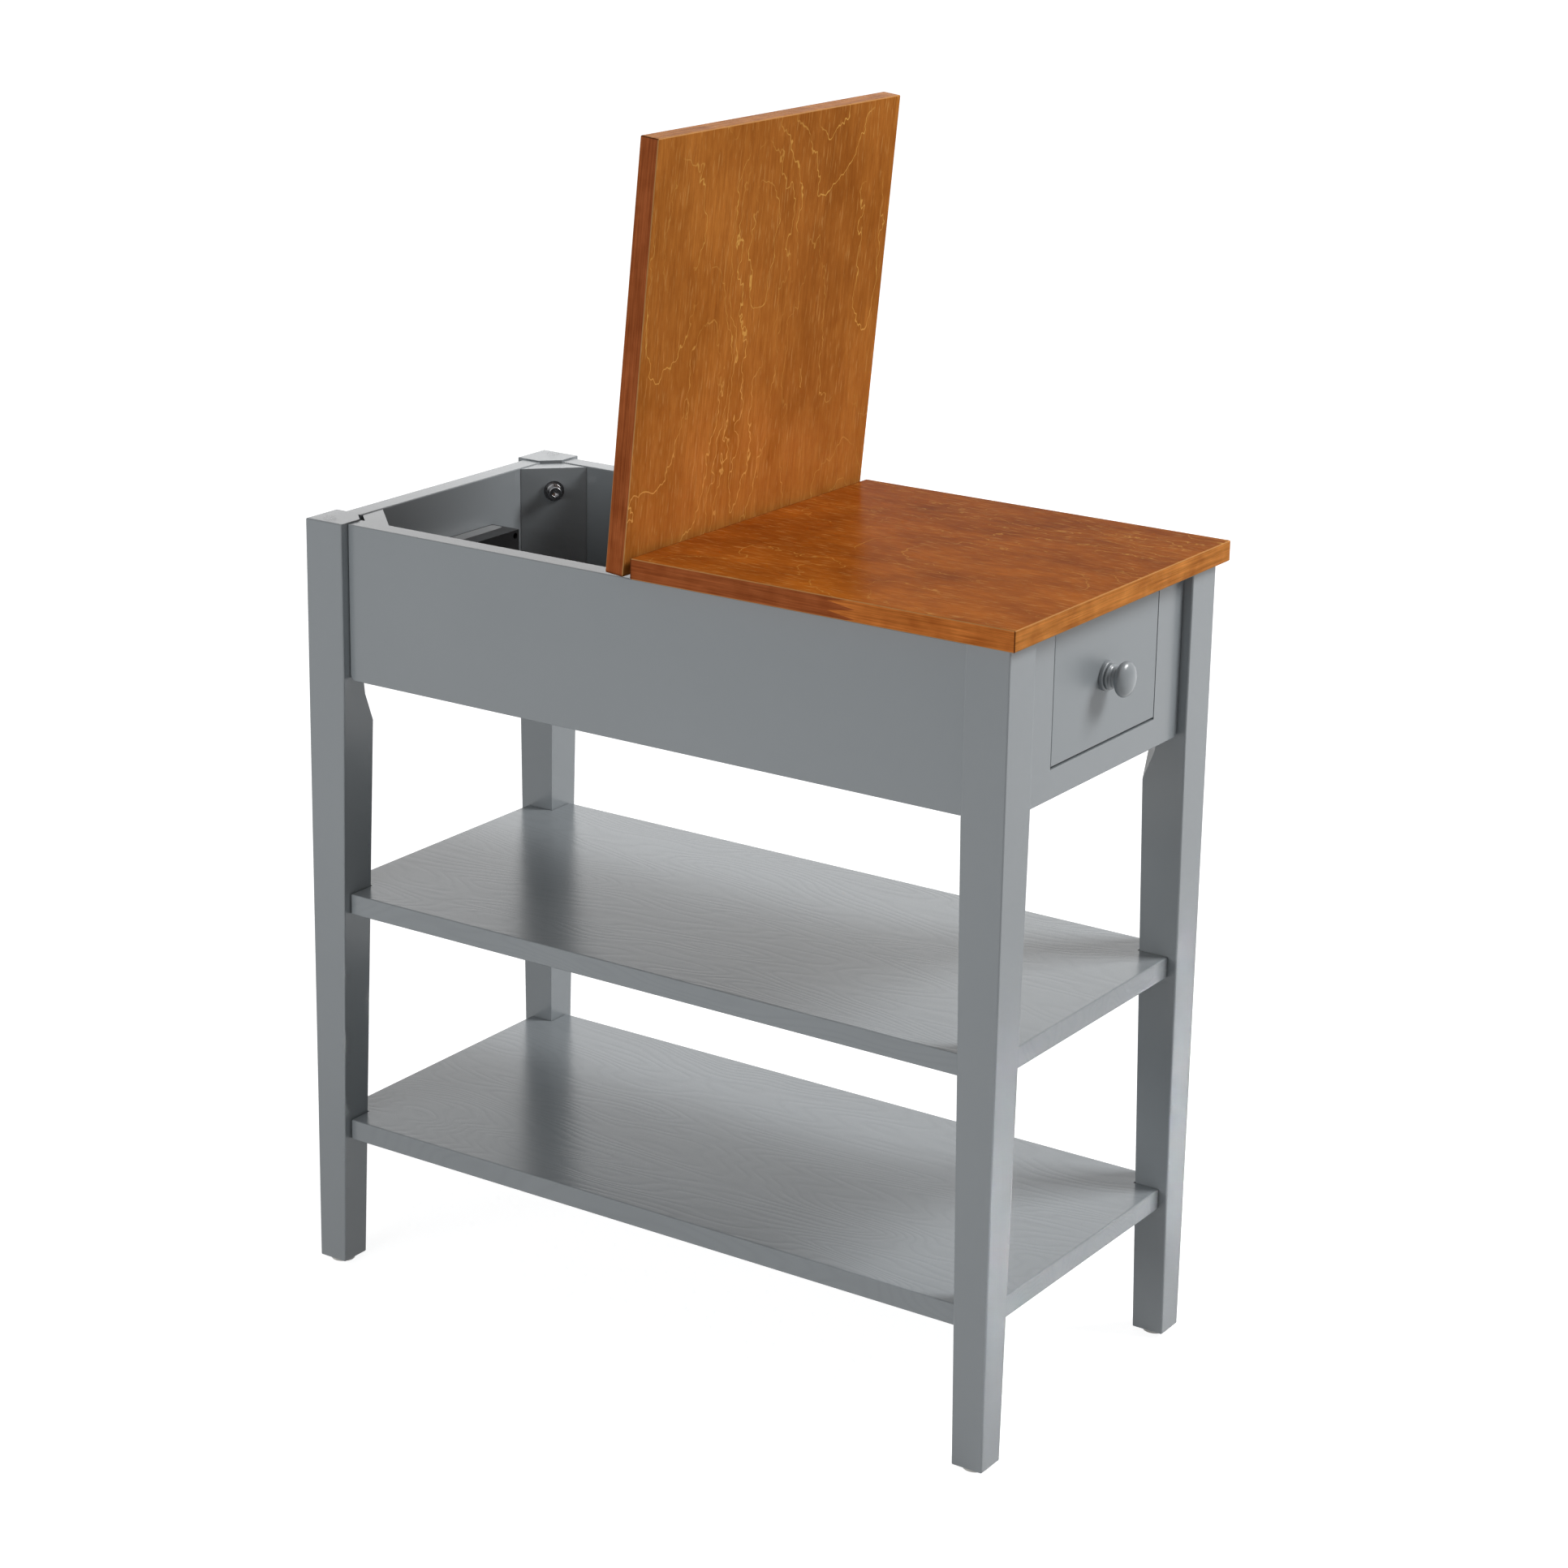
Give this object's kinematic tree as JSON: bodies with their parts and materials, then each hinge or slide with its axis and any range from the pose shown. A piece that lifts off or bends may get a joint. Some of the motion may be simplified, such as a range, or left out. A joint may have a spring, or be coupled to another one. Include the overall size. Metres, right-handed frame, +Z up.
{
  "type": "lift top end table",
  "caption": "Narrow chairside end table with a flip-up lid over a storage compartment, a small drawer, open shelves and tapered legs.",
  "frame": {"origin": "middle of the whole object's bounds at floor level, with the lid open and the drawer shut", "axes": "+X points out of the drawer's front, +Y to the right of someone facing the drawer, +Z up"},
  "size_m": [0.6118, 0.3, 0.9],
  "materials": {
    "grey_paint": "wood and board under satin grey-blue paint",
    "stained_wood": "veneered panel with solid lipping, honey-brown stain under satin lacquer",
    "plain_wood": "unpainted pale wood and plywood",
    "black_steel": "black-oxide steel",
    "zinc_steel": "zinc-plated steel",
    "nickel_steel": "nickel-plated pressed steel",
    "black_plastic": "fine-textured black plastic",
    "black_rubber": "soft black rubber",
    "pale_plastic": "off-white nylon",
    "clear_plastic": "clear soft polyurethane"
  },
  "bodies": {
    "table_frame": {"bezel_screws": "zinc_steel", "bottom_cleats": "grey_paint", "bracket_screws": "zinc_steel", "compartment_bottom": "grey_paint", "compartment_divider": "grey_paint", "cord_gland": "black_rubber", "cord_grommet": "black_plastic", "corner_block_front_left": "grey_paint", "corner_block_front_right": "grey_paint", "corner_block_rear_left": "grey_paint", "corner_block_rear_right": "grey_paint", "corner_bolts": "black_steel", "divider_cleats": "grey_paint", "drawer_runner_left": "plain_wood", "drawer_runner_right": "plain_wood", "drawer_stops": "plain_wood", "fixed_top": "stained_wood", "flat_washers": "black_steel", "foot_glides": "pale_plastic", "front_apron": "grey_paint", "hinge_arm_screws": "zinc_steel", "hinge_arms": "nickel_steel", "housing_screws": "zinc_steel", "leg_front_left": "grey_paint", "leg_front_right": "grey_paint", "leg_inserts": "zinc_steel", "leg_rear_left": "grey_paint", "leg_rear_right": "grey_paint", "lid_bumpers": "clear_plastic", "lower_shelf": "grey_paint", "power_bezel": "black_plastic", "power_housing": "black_plastic", "rear_apron": "grey_paint", "shelf_cam_bolts": "zinc_steel", "shelf_cams": "zinc_steel", "side_apron_left": "grey_paint", "side_apron_right": "grey_paint", "socket_body": "black_plastic", "spring_washers": "black_steel", "top_brackets": "zinc_steel", "upper_shelf": "grey_paint", "usb_tongues": "pale_plastic"},
    "lid_leaf": {"lid": "stained_wood", "hinge_cups": "nickel_steel", "hinge_cup_screws": "zinc_steel", "hinge_pins": "nickel_steel"},
    "drawer": {"drawer_front": "grey_paint", "drawer_side_left": "plain_wood", "drawer_side_right": "plain_wood", "drawer_back": "plain_wood", "drawer_bottom": "plain_wood", "drawer_dowels": "plain_wood", "drawer_back_screws": "zinc_steel", "drawer_catches": "plain_wood", "knob": "grey_paint", "knob_screw": "zinc_steel"}
  },
  "joints": [
    {"name": "lid_hinge", "type": "hinge", "parent": "table_frame", "child": "lid_leaf", "pos_m": [-0.01735, 0, 0.6048], "axis": [0, -1, 0], "range_deg": [0, 95.3]},
    {"name": "drawer_slide", "type": "slide", "parent": "table_frame", "child": "drawer", "axis": [1, 0, 0], "range_m": [0, 0.2]}
  ]
}
